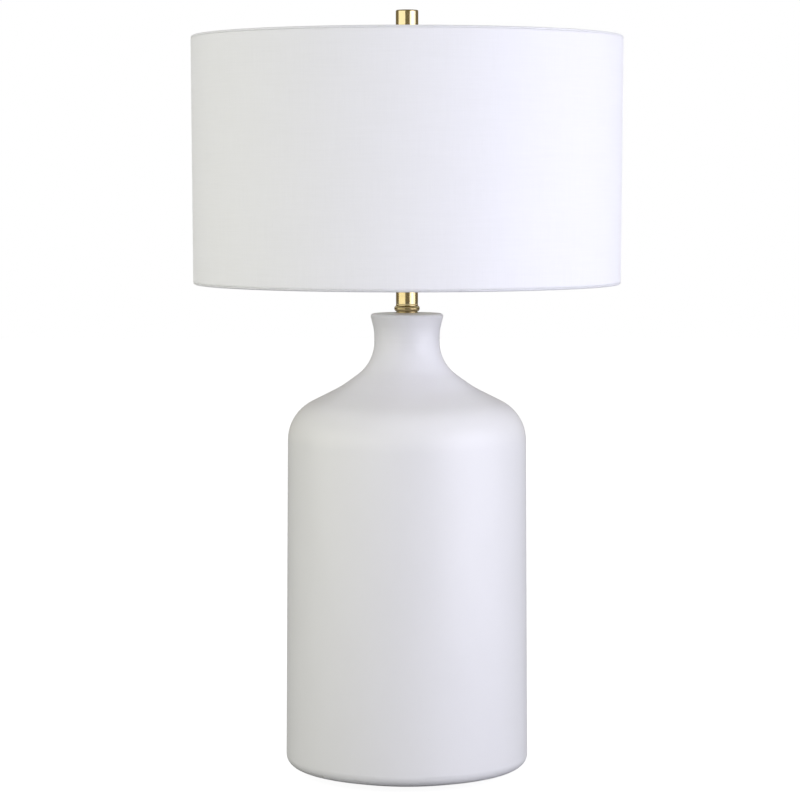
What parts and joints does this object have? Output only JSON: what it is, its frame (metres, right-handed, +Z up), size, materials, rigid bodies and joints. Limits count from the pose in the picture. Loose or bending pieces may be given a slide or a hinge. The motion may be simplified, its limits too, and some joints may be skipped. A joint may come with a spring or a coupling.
{
  "type": "table lamp",
  "caption": "Table lamp: white glazed ceramic bottle body, brass neck and cylinder finial, linen drum shade on a harp and spider, turn-knob screw socket with its bulb.",
  "frame": {"origin": "on the table under the lamp's axis, at the bottom centre of the bounding box", "axes": "+Z up along the lamp's axis, -Y towards the front where the switch knob points, +Y towards the cord outlet"},
  "size_m": [0.399, 0.399, 0.7109],
  "materials": {
    "glaze": "white satin glaze",
    "brushed_brass": "brushed",
    "polished_brass": "plated, polished",
    "zinc_steel": "zinc plated",
    "felt": "pressed felt",
    "black_rubber": "matt",
    "white_nylon": "moulded",
    "phenolic": "moulded, black",
    "insulating_card": "waxed card",
    "aluminium": "drawn",
    "white_plastic": "moulded, satin",
    "opal": "opal diffuser",
    "led_board": "white solder mask",
    "styrene": "laminate backing",
    "ring_white": "white powder coat",
    "linen": "plain weave linen"
  },
  "bodies": {
    "base": {"ceramic_body": "glaze", "foot_pads": "felt", "cord_bushing": "white_nylon", "threaded_rod": "zinc_steel", "bottom_rubber_washer": "black_rubber", "bottom_steel_washer": "zinc_steel", "bottom_lock_washer": "zinc_steel", "bottom_nut": "zinc_steel", "neck_ring": "brushed_brass", "neck_tube": "brushed_brass", "harp_saddle": "polished_brass", "top_nut": "zinc_steel", "socket_cap": "polished_brass", "socket_set_screw": "zinc_steel", "socket_shell": "polished_brass", "socket_liner": "insulating_card", "socket_block": "phenolic", "terminal_screws": "polished_brass", "socket_screw_shell": "aluminium", "centre_contact": "polished_brass"},
    "switch": {"switch_shaft": "polished_brass", "switch_knob": "phenolic"},
    "bulb_tip": {"bulb_tip_contact": "zinc_steel"},
    "bulb": {"bulb_insulator": "phenolic", "bulb_screw_shell": "aluminium", "bulb_collar": "white_plastic", "bulb_led_board": "led_board", "bulb_globe": "opal"},
    "harp": {"harp_bow": "polished_brass"},
    "ferrule_left": {"harp_ferrule_left": "polished_brass"},
    "ferrule_right": {"harp_ferrule_right": "polished_brass"},
    "stud": {"harp_stud": "polished_brass"},
    "shade": {"shade_top_ring": "ring_white", "shade_bottom_ring": "ring_white", "spider_hub": "polished_brass", "spider_arms": "polished_brass", "shade_liner": "styrene", "shade_fabric": "linen"},
    "finial_core": {"finial_core": "zinc_steel"},
    "finial_cap": {"finial_cap": "polished_brass"}
  },
  "joints": [
    {"name": "switch_turn", "type": "hinge", "parent": "base", "child": "switch", "pos_m": [0, -0.0285, 0.5024], "axis": [0, -1, 0], "continuous": true},
    {"name": "bulb_rise", "type": "slide", "parent": "base", "child": "bulb_tip", "axis": [0, 0, 1], "range_m": [0, 0.0185]},
    {"name": "bulb_turn", "type": "hinge", "parent": "bulb_tip", "child": "bulb", "pos_m": [0, 0, 0.5122], "axis": [0, 0, 1], "range_deg": [0, 1800]},
    {"name": "harp_lift", "type": "slide", "parent": "base", "child": "harp", "axis": [0, 0, 1], "range_m": [0, 0.03]},
    {"name": "ferrule_left_slide", "type": "slide", "parent": "harp", "child": "ferrule_left", "axis": [0, 0, 1], "range_m": [0, 0.014]},
    {"name": "ferrule_right_slide", "type": "slide", "parent": "harp", "child": "ferrule_right", "axis": [0, 0, 1], "range_m": [0, 0.014]},
    {"name": "shade_turn", "type": "hinge", "parent": "harp", "child": "stud", "pos_m": [0, 0, 0.6709], "axis": [0, 0, 1], "continuous": true},
    {"name": "shade_lift", "type": "slide", "parent": "stud", "child": "shade", "axis": [0, 0, 1], "range_m": [0, 0.24]},
    {"name": "finial_rise", "type": "slide", "parent": "shade", "child": "finial_core", "axis": [0, 0, 1], "range_m": [0, 0.0105]},
    {"name": "finial_turn", "type": "hinge", "parent": "finial_core", "child": "finial_cap", "pos_m": [0, 0, 0.6741], "axis": [0, 0, 1], "range_deg": [0, 3960]}
  ],
  "couplings": [
    {"joint": "bulb_rise", "follows": "bulb_turn", "m_per_rad": 0.00057751},
    {"joint": "finial_rise", "follows": "finial_turn", "m_per_rad": 0.00014972}
  ]
}
